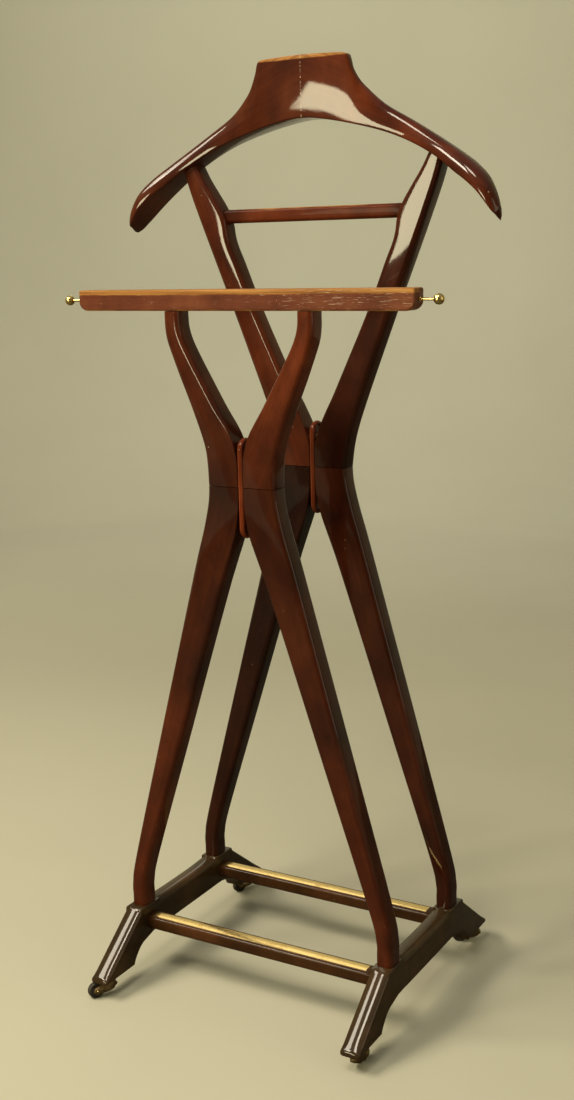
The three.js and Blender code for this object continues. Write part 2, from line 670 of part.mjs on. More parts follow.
// Rear arms, trouser bar and hanger
const hangerBlank = hanger();
const aboveUnderside = new THREE.Shape(
  hangerUnder.getPoints(60).filter((p) => p.x > 100 && p.x < 240).map((p) => p.clone().setY(p.y - GAP)),
);
aboveUnderside.lineTo(260, 1000);
aboveUnderside.lineTo(101, 1100);
const rearArm = cut(
  limb(rearInner, rearOuter, rearHeights, FRAME_Y),
  alongY(aboveUnderside, 0, 160), holeFor(...armDowel(FRAME_Y)), holeFor(...hangerDowel),
  holeFor(...barTenon), alongX(barProfile(GAP), 90, BAR_X + GAP), waistSeat(FRAME_Y, UPPER_WAIST_Z),
);
addPair('rear_arm', rearArm, wood);
add('trouser_bar', trouserBar(), wornWood);
const leftHangerSeat = mirrored(holeFor(...hangerDowel));
add('hanger', cut(hangerBlank, holeFor(...hangerDowel), leftHangerSeat), wood);
addPair('hanger_dowel', rod(...hangerDowel), dowelWood);

export default stand;
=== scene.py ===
import json
import math

import bmesh
import bpy
import numpy as np
from mathutils import Matrix, Vector


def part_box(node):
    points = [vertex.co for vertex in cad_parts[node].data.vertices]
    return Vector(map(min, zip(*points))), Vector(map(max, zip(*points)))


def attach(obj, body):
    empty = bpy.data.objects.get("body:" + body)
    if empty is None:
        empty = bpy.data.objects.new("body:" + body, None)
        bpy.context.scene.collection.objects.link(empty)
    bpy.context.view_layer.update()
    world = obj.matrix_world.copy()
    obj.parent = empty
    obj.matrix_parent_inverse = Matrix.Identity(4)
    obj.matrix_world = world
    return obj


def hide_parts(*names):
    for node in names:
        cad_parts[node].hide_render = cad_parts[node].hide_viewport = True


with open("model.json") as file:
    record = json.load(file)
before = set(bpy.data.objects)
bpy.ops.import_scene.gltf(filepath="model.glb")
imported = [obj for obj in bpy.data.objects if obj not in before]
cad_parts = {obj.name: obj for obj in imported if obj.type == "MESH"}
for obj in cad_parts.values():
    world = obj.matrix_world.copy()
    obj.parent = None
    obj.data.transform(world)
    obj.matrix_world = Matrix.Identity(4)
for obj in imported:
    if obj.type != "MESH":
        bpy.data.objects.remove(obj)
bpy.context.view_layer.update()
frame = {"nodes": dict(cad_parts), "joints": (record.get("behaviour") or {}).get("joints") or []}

# A mahogany and brass valet stand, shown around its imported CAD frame. Blender's units are metres;
# the shapes below are worked out in millimetres in the same frame and scaled once, in mesh_piece.
# +X is the viewer's right, +Y the back and +Z up.
MM = 0.001


def box_mm(node):
    """The lowest and highest corner of a CAD node, in millimetres."""
    low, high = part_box(node)
    return np.array(low) / MM, np.array(high) / MM


def middle_of(node):
    low, high = box_mm(node)
    return (low + high) / 2


# Driving sizes, from the frame wherever a node's box gives them
rail_low, rail_high = box_mm("side_rail_right")
leg_low, leg_high = box_mm("front_leg_right")
board_low, board_high = box_mm("dressing_board")
bar_low, bar_high = box_mm("trouser_bar")
hanger_high = box_mm("hanger")[1]
spacer_low, spacer_high = box_mm("rear_waist_spacer")
FRAME_Y = middle_of("rear_leg_right")[1]
FRAME_DEPTH = leg_high[1] - leg_low[1]
RAIL_X = middle_of("side_rail_right")[0]
RAIL_WIDTH = rail_high[0] - rail_low[0]
LEG_FOOT = leg_low[2]
JOINT_Z = leg_high[2]
ARM_FOOT = box_mm("rear_arm_right")[0][2]
BOARD_SEAT = box_mm("front_arm_right")[1][2]
PLATE_SIDE = box_mm("front_arm_right")[0][0]
FOOT_BOTTOM = rail_low[2]
FOOT_TIP = rail_high[1]
LAND_TOP = rail_high[2]
NECK_TOP = hanger_high[2] - 1
HANGER_HALF = hanger_high[0]

# Sizes the boxes don't give, in millimetres. The arrises are the rounded edges of the legs and
# arms. A rail's land is the level stretch that a leg stands on, and its tip the end of its foot.
ARRIS = 6.0
WAIST_ARRIS = 0.8
WAIST_HALF = 43.6
NECK_HALF = 59
RAIL_BOTTOM = 48
RAIL_CROWN = 84
LAND_START = 66
LAND_END = 103
FOOT_HEEL = 123.5
TIP_THICKNESS = 5.0
TIP_ROUND = 3.0
HANGER_TIP_ROUND = 0.8
GAP = 0.3


# Curves
def spline(points, steps=32):
    """A smooth curve through points, as a dense polyline."""
    p = np.array(points, float)
    padded = np.vstack([p[:1], p, p[-1:]])
    t = np.linspace(0, 1, steps, endpoint=False)[:, None]
    spans = []
    for i in range(len(p) - 1):
        p0, p1, p2, p3 = padded[i : i + 4]
        v0, v1 = (p2 - p0) / 2, (p3 - p1) / 2
        cubic = 2 * p1 - 2 * p2 + v0 + v1
        square = 3 * p2 - 3 * p1 - 2 * v0 - v1
        spans.append(cubic * t**3 + square * t**2 + v0 * t + p1)
    return np.vstack(spans + [p[-1:]])


def of_height(curve, z):
    """x on a curve of (x, z) at height z."""
    return np.interp(z, curve[:, 1], curve[:, 0])


def of_reach(curve, x):
    """The second coordinate of a curve at first coordinate x."""
    return np.interp(x, curve[:, 0], curve[:, 1])


def smoothstep(value, low, high):
    t = np.clip((value - low) / (high - low), 0, 1)
    return t * t * (3 - 2 * t)


def rounded_rectangle(half_width, half_height, radius, steps=6):
    """Points round a rounded rectangle about the origin."""
    points = []
    for corner, (sx, sy) in enumerate([(1, 1), (-1, 1), (-1, -1), (1, -1)]):
        for angle in np.linspace(corner, corner + 1, steps + 1) * math.pi / 2:
            points.append((
                sx * (half_width - radius) + radius * math.cos(angle),
                sy * (half_height - radius) + radius * math.sin(angle),
            ))
    return np.array(points)


# Meshes
def mesh_piece(name, vertices, faces, grain=None, wear=None, tone=None, sharp=32):
    """A mesh object from millimetre points. grain is each point's place along and across the wood
    grain, wear how far its lacquer is rubbed away, from 0 to 1, and tone how light it is, partly
    stain and, on some pieces, painted shade and light."""
    vertices = np.asarray(vertices, float)
    mesh = bpy.data.meshes.new(name)
    mesh.from_pydata((vertices * MM).tolist(), [], faces)
    tidy = bmesh.new()
    tidy.from_mesh(mesh)
    bmesh.ops.recalc_face_normals(tidy, faces=tidy.faces)
    tidy.to_mesh(mesh)
    tidy.free()
    if grain is None:
        grain = vertices
    along = mesh.attributes.new("grain", "FLOAT_VECTOR", "POINT")
    along.data.foreach_set("vector", (np.asarray(grain, float) * MM).ravel())
    for label, values, usual in (("wear", wear, 0.0), ("tone", tone, 1.0)):
        if values is None:
            values = np.full(len(vertices), usual)
        mesh.attributes.new(label, "FLOAT", "POINT").data.foreach_set("value", values)
    mesh.shade_smooth()
    mesh.set_sharp_from_angle(angle=math.radians(sharp))
    piece = bpy.data.objects.new(name, mesh)
    bpy.context.scene.collection.objects.link(piece)
    return piece


def loft_faces(rings, sides):
    """Quads between rings, and a face over each end."""
    faces = []
    for i in range(rings - 1):
        for j in range(sides):
            k = (j + 1) % sides
            faces.append((i * sides + j, i * sides + k, (i + 1) * sides + k, (i + 1) * sides + j))
    faces.append(tuple(range(sides)))
    faces.append(tuple((rings - 1) * sides + j for j in range(sides)))
    return faces


def loft(name, rings, direction, wear=None, tone=None, sharp=32, offset=0.0):
    """A solid through rings of points. direction is which way its grain runs. wear and tone are
    functions of the points."""
    rings = np.array(rings, float)
    points = rings.reshape(-1, 3)
    faces = loft_faces(*rings.shape[:2])
    grain = grain_of(points, direction, offset)
    rubbed, stained = (None if rule is None else rule(points) for rule in (wear, tone))
    return mesh_piece(name, points, faces, grain, rubbed, stained, sharp)


def grain_of(points, direction, offset=0.0):
    """Each point's distance along the grain, and its two distances across it."""
    along = np.array(direction, float) / np.linalg.norm(direction)
    aside = np.cross(along, (0, 1, 0))
    aside /= np.linalg.norm(aside)
    across = np.cross(aside, along)
    return np.stack([points @ along + offset, points @ aside + offset, points @ across], 1)


def dress(piece, body, material, slot, *nodes):
    """Gives a piece its material, its body and the CAD nodes it stands for."""
    piece.data.materials.append(material)
    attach(piece, body)
    if nodes:
        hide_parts(*nodes)
    return piece


# Materials
class Graph:
    """A material's nodes, made and joined in one call each."""

    def __init__(self, name):
        self.material = bpy.data.materials.new(name)
        self.material.use_nodes = True
        self.tree = self.material.node_tree
        self.shader = self.tree.nodes["Principled BSDF"]

    def node(self, kind, inputs=None, **settings):
        made = self.tree.nodes.new(kind)
        for key, value in settings.items():
            setattr(made, key, value)
        for key, value in (inputs or {}).items():
            self.set(made.inputs[key], value)
        return made

    def set(self, socket, value):
        if isinstance(value, bpy.types.NodeSocket):
            self.tree.links.new(value, socket)
        else:
            socket.default_value = value

    def math(self, operation, a, b=0.0):
        made = self.node("ShaderNodeMath", operation=operation)
        self.set(made.inputs[0], a)
        self.set(made.inputs[1], b)
        return made.outputs[0]

    def stretch(self, vector, scale):
        made = self.node("ShaderNodeVectorMath", operation="MULTIPLY")
        self.set(made.inputs[0], vector)
        made.inputs[1].default_value = scale
        return made.outputs[0]

    def noise(self, vector, scale, detail=4.0, roughness=0.55, distortion=0.0):
        inputs = {"Vector": vector, "Scale": scale, "Detail": detail, "Roughness": roughness,
                  "Distortion": distortion}
        return self.node("ShaderNodeTexNoise", inputs).outputs["Fac"]

    def ramp(self, value, *stops):
        """A colour ramp through (position, colour) stops."""
        made = self.node("ShaderNodeValToRGB", {"Fac": value})
        elements = made.color_ramp.elements
        while len(elements) < len(stops):
            elements.new(0.5)
        for element, (position, colour) in zip(elements, stops):
            element.position = position
            element.color = (*colour, 1.0)
        return made.outputs["Color"]

    def between(self, value, low, high, to_low=0.0, to_high=1.0):
        made = self.node("ShaderNodeMapRange", {"Value": value, "From Min": low, "From Max": high,
                                                "To Min": to_low, "To Max": to_high})
        made.interpolation_type = "SMOOTHSTEP"
        return made.outputs["Result"]

    def mix(self, amount, a, b, blend="MIX"):
        made = self.node("ShaderNodeMix", data_type="RGBA", blend_type=blend)
        self.set(made.inputs["Factor"], amount)
        self.set(made.inputs[6], a)
        self.set(made.inputs[7], b)
        return made.outputs[2]

    def bump(self, height, distance, strength=1.0, socket="Normal"):
        inputs = {"Height": height, "Distance": distance, "Strength": strength}
        self.set(self.shader.inputs[socket], self.node("ShaderNodeBump", inputs).outputs["Normal"])

    def finish(self, **sockets):
        for key, value in sockets.items():
            self.set(self.shader.inputs[key.replace("_", " ")], value)
        return self.material


def specks(g, position, spacing, radius, share):
    """Small scattered dots: 1 inside a dot, 0 outside. share is how many cells have one."""
    cells = g.node("ShaderNodeTexVoronoi", {"Vector": position, "Scale": 1 / spacing})
    pick = g.node("ShaderNodeSeparateColor", {"Color": cells.outputs["Color"]}).outputs[0]
    chosen = g.math("LESS_THAN", pick, share)
    spot = g.between(cells.outputs["Distance"], radius / spacing, 0.5 * radius / spacing)
    return g.math("MULTIPLY", chosen, spot)


PALE_NICK = (0.55, 0.43, 0.3, 1.0)
BARE_WOOD = (0.19, 0.072, 0.018), (0.38, 0.18, 0.045)


def mahogany(name, dark, mid, light, speck_share=0.11, seam=False, scuffed=False, gloss=0.7):
    """Dark red-brown lacquered wood, streaked along its grain and rubbed bare where wear is 1.
    A seam is a glue line at x = 0 that shows as a row of pale flecks. Scuffed wood has short pale
    scratches on its right half. gloss is how strong the lacquer's shine is."""
    g = Graph(name)
    # Figure of the wood, in three sizes, and its pores
    grain = g.node("ShaderNodeAttribute", attribute_name="grain").outputs["Vector"]
    wear = g.node("ShaderNodeAttribute", attribute_name="wear").outputs["Fac"]
    position = g.node("ShaderNodeTexCoord").outputs["Object"]
    broad = g.noise(g.stretch(grain, (3.0, 22.0, 22.0)), 1.0, 3.0, 0.5, 0.5)
    streaks = g.noise(g.stretch(grain, (9.0, 260.0, 260.0)), 1.0, 6.0, 0.62, 0.3)
    pores = g.noise(g.stretch(grain, (60.0, 1500.0, 1500.0)), 1.0, 2.0, 0.5)
    mottle = g.noise(g.stretch(position, (17.0, 17.0, 11.0)), 1.0, 4.0, 0.6)
    figure = g.math("ADD", g.math("MULTIPLY", broad, 0.26), g.math("MULTIPLY", streaks, 0.17))
    figure = g.math("ADD", figure, g.math("MULTIPLY", mottle, 0.57))
    colour = g.ramp(figure, (0.33, dark), (0.5, mid), (0.67, light))
    pore_mask = g.between(pores, 0.62, 0.74, 0.0, 0.4)
    colour = g.mix(pore_mask, colour, (dark[0] * 0.4, dark[1] * 0.4, dark[2] * 0.4, 1.0))
    # The tone lightens or darkens a piece's colour; on the limbs, the hanger and the trouser bar it
    # holds partly stain, partly painted shade and light.
    tone = g.node("ShaderNodeAttribute", attribute_name="tone").outputs["Fac"]
    channels = dict.fromkeys(("Red", "Green", "Blue"), tone)
    lightness = g.node("ShaderNodeCombineColor", channels).outputs[0]
    colour = g.mix(1.0, colour, lightness, "MULTIPLY")
    # Rubbed edges, where the stain and the lacquer are worn through in patches
    patchy = g.noise(g.stretch(grain, (35.0, 120.0, 120.0)), 1.0, 5.0, 0.6)
    worn_away = g.math("ADD", wear, g.math("MULTIPLY", g.math("SUBTRACT", patchy, 0.5), 0.9))
    rubbed = g.between(worn_away, 0.3, 0.75)
    bare = g.ramp(streaks, (0.35, BARE_WOOD[0]), (0.65, BARE_WOOD[1]))
    colour = g.mix(rubbed, colour, bare)
    # Nicks through the finish
    nicks = specks(g, position, 0.021, 0.0011, speck_share)
    fine = specks(g, position, 0.0085, 0.0005, speck_share * 0.8)
    marks = g.math("MAXIMUM", nicks, fine)
    parts = g.node("ShaderNodeSeparateXYZ", {"Vector": position}).outputs
    if scuffed:
        strokes = g.noise(g.stretch(grain, (70.0, 1700.0, 1700.0)), 1.0, 3.0, 0.55, 0.5)
        on_right = g.between(parts["X"], -0.02, 0.09, 0.0, 0.065)
        strokes = g.between(g.math("ADD", strokes, on_right), 0.69, 0.74)
        marks = g.math("MAXIMUM", marks, strokes)
    if seam:
        line = g.math("COMPARE", parts["X"], 0.0)
        line.node.inputs[2].default_value = 0.00045
        flecks = g.noise(g.stretch(position, (0.0, 0.0, 330.0)), 1.0, 3.0, 0.6)
        seam_marks = g.math("MULTIPLY", line, g.between(flecks, 0.49, 0.57))
        marks = g.math("MAXIMUM", marks, seam_marks)
    colour = g.mix(g.math("MULTIPLY", marks, 0.75), colour, PALE_NICK)
    # Haze, faint scratches, rubbing and nicks all dull the surface
    haze = g.noise(g.stretch(position, (5.0, 5.0, 5.0)), 1.0, 4.0, 0.6)
    scratch = g.noise(g.stretch(grain, (16.0, 900.0, 420.0)), 1.0, 2.0, 0.5)
    scratched = g.between(scratch, 0.62, 0.8, 0.0, 0.1)
    rough = g.math("ADD", g.between(haze, 0.35, 0.7, 0.36, 0.46), scratched)
    rough = g.math("ADD", rough, g.math("MULTIPLY", rubbed, 0.15))
    rough = g.math("ADD", rough, g.math("MULTIPLY", marks, 0.3))
    # The wood has a fine relief, and the lacquer over it a slow ripple
    height = g.math("ADD", g.math("MULTIPLY", streaks, 0.35), g.math("MULTIPLY", pores, 0.35))
    ripple = g.noise(g.stretch(grain, (14.0, 60.0, 60.0)), 1.0, 2.0, 0.5)
    g.bump(height, 0.00012, 0.6)
    g.bump(g.math("ADD", ripple, g.math("MULTIPLY", pores, 0.12)), 0.0001, 0.7, "Coat Normal")
    return g.finish(
        Base_Color=colour,
        Roughness=rough,
        Specular_IOR_Level=0.05,
        Coat_Weight=g.between(rubbed, 0.0, 1.0, gloss, 0.05),
        Coat_Roughness=g.between(haze, 0.35, 0.7, 0.03, 0.06),
    )


def brass(name, bright, dull, roughness, tarnish):
    """Brass that is darker and rougher in patches. tarnish moves the balance from bright to
    dull."""
    g = Graph(name)
    position = g.node("ShaderNodeTexCoord").outputs["Object"]
    patches = g.noise(position, 55.0, 5.0, 0.6)
    fine = g.noise(g.stretch(position, (40.0, 700.0, 700.0)), 1.0, 3.0, 0.6)
    streaked = g.math("ADD", patches, g.math("MULTIPLY", g.math("SUBTRACT", fine, 0.5), 0.08))
    blend = g.between(streaked, 0.5 - tarnish, 0.78 - tarnish)
    spots = specks(g, position, 0.013, 0.0007, 0.14)
    colour = g.mix(blend, (*bright, 1.0), (*dull, 1.0))
    colour = g.mix(g.math("MULTIPLY", spots, 0.7), colour, (0.09, 0.055, 0.02, 1.0))
    sheen = g.between(fine, 0.35, 0.7, roughness, roughness + 0.06)
    rough = g.math("ADD", g.math("MULTIPLY", blend, 0.12), sheen)
    g.bump(g.math("ADD", fine, patches), 0.00003, 0.35)
    return g.finish(Base_Color=colour, Roughness=rough, Metallic=1.0)


def hard_rubber(name):
    g = Graph(name)
    position = g.node("ShaderNodeTexCoord").outputs["Object"]
    dust = g.noise(position, 160.0, 5.0, 0.65)
    colour = g.ramp(dust, (0.4, (0.012, 0.009, 0.007)), (0.75, (0.06, 0.048, 0.036)))
    g.bump(dust, 0.0001, 0.5)
    return g.finish(Base_Color=colour, Roughness=g.between(dust, 0.35, 0.7, 0.4, 0.65))


def beech(name):
    g = Graph(name)
    position = g.node("ShaderNodeTexCoord").outputs["Object"]
    streaks = g.noise(g.stretch(position, (300.0, 300.0, 30.0)), 1.0, 4.0, 0.6)
    g.bump(streaks, 0.0001, 0.5)
    colour = g.ramp(streaks, (0.3, (0.42, 0.26, 0.13)), (0.7, (0.62, 0.43, 0.24)))
    return g.finish(Base_Color=colour, Roughness=g.between(streaks, 0.3, 0.7, 0.5, 0.65))


# Stains of the wood, each from its darkest streaks to its lightest. The rails' olive-tinged one
# also holds a painted reflection of the pale floor.
RED_BROWN = (0.024, 0.0045, 0.0012), (0.088, 0.0155, 0.0035), (0.17, 0.035, 0.009)
# Partly the rails' dark stain, partly a painted reflection of the floor on their sides, which the
# dark card keeps out of their gloss.
BLACK_BROWN_AND_FLOOR_SHEEN = (0.017, 0.0085, 0.003), (0.038, 0.021, 0.0075), (0.07, 0.035, 0.013)
OLIVE_BROWN = (0.014, 0.0055, 0.0018), (0.045, 0.018, 0.0055), (0.09, 0.032, 0.01)
FADED_BROWN = (0.05, 0.015, 0.008), (0.12, 0.034, 0.016), (0.19, 0.064, 0.028)

WOOD = mahogany("lacquered_mahogany", *RED_BROWN)
HANGER_WOOD = mahogany("jointed_mahogany", *RED_BROWN, speck_share=0.07, seam=True)
RAIL_WOOD = mahogany("dark_mahogany", *BLACK_BROWN_AND_FLOOR_SHEEN)
SATIN_WOOD = mahogany("satin_mahogany", *OLIVE_BROWN, gloss=0.25)
BAR_WOOD = mahogany("rubbed_bar_mahogany", *RED_BROWN, speck_share=0.14, gloss=0.04)
BOARD_WOOD = mahogany("rubbed_mahogany", *FADED_BROWN, speck_share=0.16, scuffed=True, gloss=0.22)
BRASS = brass("polished_brass", (0.88, 0.66, 0.27), (0.66, 0.45, 0.15), 0.22, 0.0)
AGED_BRASS = brass("aged_brass", (0.5, 0.36, 0.18), (0.2, 0.135, 0.065), 0.42, 0.12)
TREAD = hard_rubber("wheel_tread")
DOWEL = beech("dowel_beech")


# Legs and arms: the side edges of the right-hand ones, as (x, z)
leg_inner = spline([
    (158.5, LEG_FOOT - 10), (158.5, 98), (158, 114), (149, 150), (98.6, 300), (48.4, 450),
    (20, 533), (9, 567), (4.6, 590), (PLATE_SIDE, 604), (PLATE_SIDE, JOINT_Z + 10),
])
leg_outer = spline([
    (178, LEG_FOOT - 10), (178, 98), (177.6, 115), (170.6, 150), (129, 300), (87, 450), (64, 532),
    (52.5, 570), (45.3, 600), (WAIST_HALF, JOINT_Z), (WAIST_HALF, JOINT_Z + 12),
])
front_inner = spline([
    (PLATE_SIDE, JOINT_Z - 10), (PLATE_SIDE, 636), (4.6, 654), (12.8, 680), (35.8, 720), (59, 760),
    (69.3, 780), (73.8, 795), (74.5, BOARD_SEAT), (74.5, BOARD_SEAT + 12),
])
front_outer = spline([
    (WAIST_HALF, JOINT_Z - 10), (WAIST_HALF, JOINT_Z), (46.4, 660), (60, 700), (76.6, 740),
    (85.4, 762), (91.6, 779), (94, 793), (94.3, BOARD_SEAT), (94.3, BOARD_SEAT + 12),
])
rear_inner = spline([
    (PLATE_SIDE, JOINT_Z - 10), (PLATE_SIDE, 636), (5, 652), (15.5, 680), (34.6, 720), (72.8, 800),
    (98, 860), (106.4, 879), (110.4, 892), (112.2, 904), (115, 915), (121.5, 927), (130, 940),
    (143.4, 960), (152, 976), (160, 990),
])
rear_outer = spline([
    (WAIST_HALF, JOINT_Z - 10), (WAIST_HALF, JOINT_Z), (49.5, 655), (64.8, 700), (104.2, 800),
    (136.8, 880), (152.8, 920), (163, 947), (170, 970), (174, 990),
])

# Hanger: how high and how far back its crest and its flat underside's edges are at each x
crest_height = spline([
    (-40, NECK_TOP), (0, NECK_TOP + 1), (40, NECK_TOP), (NECK_HALF - 4, NECK_TOP - 1.5),
    (NECK_HALF, NECK_TOP - 6), (60.4, 1077), (63, 1070), (68.2, 1060), (75.8, 1050.5),
    (97.8, 1030.5), (132, 1010.5), (165.3, 990.5), (197, 970.5), (212, 959.5), (224, 948.5),
    (232.5, 936), (238.5, 924), (HANGER_HALF, 912), (HANGER_HALF + 1, 906),
])
crest_depth = spline([
    (-40, 68.6), (0, 68.6), (55, 68.6), (77, 73), (115, 77), (150, 77), (166, 75.5), (190, 72),
    (214, 67.5), (226, 64.5), (236, 60.5), (HANGER_HALF, 58), (HANGER_HALF + 4, 57),
])
underside = spline([
    (-43.5, 1014.8), (0, 1020.6), (43.5, 1014.8), (93, 1002.5), (128.8, 989), (163, 971),
    (191, 951), (205, 939.5), (218, 926), (229, 911.5), (235, 903), (239, 900),
    (HANGER_HALF, 905), (HANGER_HALF + 2, 912),
])
front_edge = spline([
    (-45, 61), (0, 60), (45, 61), (80, 64.5), (110, 66), (135, 65), (163, 61), (185, 55.5),
    (208, 48.5), (226, 45.5), (236, 47.5), (HANGER_HALF, 54), (HANGER_HALF + 2, 56),
])
back_edge = spline([
    (-45, 98.6), (0, 98.6), (160, 98.6), (190, 97.5), (205, 95), (220, 88), (232, 77), (238, 68.5),
    (HANGER_HALF, 62), (HANGER_HALF + 2, 59),
])


def limb(name, node, inner, outer, foot, top, hand, centre_y, direction, offset, lightness):
    """A leg or an arm between two side curves. top is a height, or a function of x for a slanted
    cut. direction is which way its grain runs, and the last argument its tone at the foot and at
    the top, which holds both the wood's stain and painted shade and light."""
    arris_steps, ring_spacing = 6, 4
    corner = np.repeat(np.arange(4), arris_steps + 1)
    angle = np.tile(np.linspace(0, 1, arris_steps + 1), 4) * math.pi / 2 + corner * math.pi / 2
    signs = np.array([(1, 1), (-1, 1), (-1, -1), (1, -1)])[corner]

    def ring(z):
        x0, x1 = of_height(inner, z), of_height(outer, z)
        at_waist = WAIST_ARRIS + (ARRIS - WAIST_ARRIS) * smoothstep(x0, 6, 30)
        radius = np.where(signs[:, 0] < 0, at_waist, ARRIS)
        x = (x0 + x1) / 2 + signs[:, 0] * ((x1 - x0) / 2 - radius) + radius * np.cos(angle)
        y = centre_y + signs[:, 1] * (FRAME_DEPTH / 2 - radius) + radius * np.sin(angle)
        return np.stack([hand * x, y, z], 1), x

    def tone(points):
        return np.interp(points[:, 2], (foot, float(np.mean(end))), lightness)

    end = np.full(len(corner), float(foot))
    if callable(top):
        # Where a slanted cut meets each side depends on x, which depends on the height again
        for _ in range(12):
            end = top(ring(end)[1])
    else:
        end[:] = top
    count = int((np.mean(end) - foot) / ring_spacing) + 1
    rings = [ring(foot + (end - foot) * t)[0] for t in np.linspace(0, 1, count)]
    piece = loft(name, rings, (hand * direction[0], 0, direction[1]), tone=tone, offset=offset)
    dress(piece, "frame", WOOD, "wood", node)


# Each limb is cut from its own board. The table below gives how light each limb is, at its
# foot and at its top: partly the boards' own stains, partly painted shade and light, darker or
# lighter as the lamps fall on each limb. Its lean is which way its grain runs, as (x, z).
STAIN_AND_SHADING = {
    "front_leg_left": (0.8, 0.3), "front_leg_right": (0.66, 0.3),
    "front_arm_left": (0.36, 0.6), "front_arm_right": (0.38, 1.2),
    "rear_leg_left": (0.24, 0.15), "rear_leg_right": (0.3, 0.45),
    "rear_arm_left": (0.8, 0.62), "rear_arm_right": (0.24, 0.5),
}
LEG_LEAN = -0.31, 1
ARM_LEAN = 0.44, 1


def waisted_frame(place, end):
    """The two legs and two arms of one frame. Each limb's grain starts at its own offset."""
    y = end * FRAME_Y
    arm_curves = (front_inner, front_outer) if end < 0 else (rear_inner, rear_outer)
    arm_top = BOARD_SEAT if end < 0 else (lambda x: of_reach(underside, x) - GAP)
    for hand, side in ((-1, "left"), (1, "right")):
        offset = 700.0 * hand + 300.0 * end
        leg = f"{place}_leg_{side}"
        limb(leg + "_wood", leg, leg_inner, leg_outer, LEG_FOOT, JOINT_Z, hand, y,
             LEG_LEAN, offset, STAIN_AND_SHADING[leg])
        arm = f"{place}_arm_{side}"
        limb(arm + "_wood", arm, *arm_curves, ARM_FOOT, arm_top, hand, y,
             ARM_LEAN, offset + 150, STAIN_AND_SHADING[arm])


def spacer(name, node, centre_y):
    """The plate between a frame's two halves, with a rounded edge."""
    half_thickness = (spacer_high[0] - spacer_low[0]) / 2
    half_height = (spacer_high[2] - spacer_low[2]) / 2
    half_depth = (spacer_high[1] - spacer_low[1]) / 2
    centre_z = (spacer_high[2] + spacer_low[2]) / 2
    corner, edge, lightness = 13, half_thickness - 0.2, 1.6
    rings = []
    for side in (-1, 1):
        for angle in np.linspace(0, math.pi / 2, 7)[:: -side]:
            inset = edge * (1 - math.cos(angle))
            outline = rounded_rectangle(half_depth - inset, half_height - inset, corner - inset, 12)
            x = side * (half_thickness - edge + edge * math.sin(angle))
            rings.append([(x, centre_y + y, centre_z + z) for y, z in outline])

    def tone(points):
        return np.full(len(points), lightness)

    piece = loft(name, rings, (0, 0.001, 1), tone=tone, offset=90)
    dress(piece, "frame", WOOD, "wood", node)


# Hanger
def hanger_ring(x, samples=14):
    """One upright slice across the hanger: a flat underside with rounded edges, and a front and a
    back that curve up to the crest, steeply at the neck and fully out along the arms."""
    s = abs(x)
    top, under = of_reach(crest_height, s), of_reach(underside, s)
    front, back, crest = (of_reach(curve, s) for curve in (front_edge, back_edge, crest_depth))
    neck = smoothstep(top - under, 24, 62)
    flat = 0.6 + 4.2 * smoothstep(62 - s, 0, 6)
    edge = min(2.0, (top - under) * 0.2)
    lift = 7 * smoothstep(s, 185, 236)

    def over(start, foot, fullness, steps):
        away = math.copysign(1, start - crest)
        reach = start - crest - away * flat
        quarter = steps * math.pi / 2
        y = crest + away * flat + reach * np.cos(quarter) ** fullness
        z = foot + (top - foot) * np.sin(quarter) ** fullness
        return [(x, a, b) for a, b in zip(y, z)]

    steps = np.linspace(0, 1, samples)
    under_edge = np.linspace(0, math.pi / 2, 5)[1:-1]
    ring = [(x, front + edge, under + lift), (x, back - edge, under)]
    ring += [(x, back - edge + edge * math.sin(a), under + edge - edge * math.cos(a))
             for a in under_edge]
    ring += over(back, under + edge, 0.85 + 0.9 * neck, steps)
    ring += over(front, under + lift + edge, 0.8 - 0.58 * neck, steps[::-1])
    ring += [(x, front + edge - edge * math.cos(a), under + lift + edge - edge * math.sin(a))
             for a in under_edge]
    return np.array(ring)


def hanger():
    """The coat hanger, closely sliced at its neck's corners and at its tips."""
    half = np.concatenate([
        np.linspace(0, 54, 20), np.linspace(55, 66, 19)[:-1], np.linspace(66, 110, 18)[:-1],
        np.linspace(110, 215, 34)[:-1], np.linspace(215, HANGER_HALF - HANGER_TIP_ROUND, 22),
    ])
    rings = [hanger_ring(x) for x in np.concatenate([-half[:0:-1], half])]
    tip = rings[-1]
    centre = tip.mean(0)
    for angle in np.linspace(0, 1, 6)[1:] * 0.47 * math.pi:
        shrunk = centre + (tip - centre) * math.cos(angle)
        shrunk[:, 0] = HANGER_HALF - HANGER_TIP_ROUND + HANGER_TIP_ROUND * math.sin(angle)
        rings.append(shrunk)
        rings.insert(0, shrunk * (-1, 1, 1))
    rings = np.array(rings)
    points = rings.reshape(-1, 3)
    # Each half is cut from its own board, whose grain runs down along the arm
    mirrored = points.copy()
    mirrored[:, 0] = np.abs(mirrored[:, 0])
    grain = grain_of(mirrored, (1, 0, -0.45), 40)
    # The neck's crown is rubbed bare, more at the front
    neck = smoothstep(66 - np.abs(points[:, 0]), 0, 3)
    crown = smoothstep(points[:, 2], NECK_TOP - 5.5, NECK_TOP - 1.5)
    facing = 0.35 + 0.65 * smoothstep(72 - points[:, 1], 0, 6)
    wear = neck * crown * facing
    # Lighter on the right half: partly the boards' own tones, partly painted sheen where that side
    # catches the lamps.
    places, tones = [-240, -60, -8, 8, 60, 240], [0.62, 0.46, 0.55, 0.55, 0.85, 0.75]
    tone = np.interp(points[:, 0], places, tones)
    faces = loft_faces(*rings.shape[:2])
    piece = mesh_piece("hanger_wood", points, faces, grain, wear, tone, 40)
    dress(piece, "frame", HANGER_WOOD, "wood", "hanger")


# Rails
rail_under = spline([
    (0, RAIL_BOTTOM), (40, RAIL_BOTTOM), (76, RAIL_BOTTOM), (92, 46), (108, 39.5), (119, 29),
    (FOOT_HEEL, FOOT_BOTTOM),
])


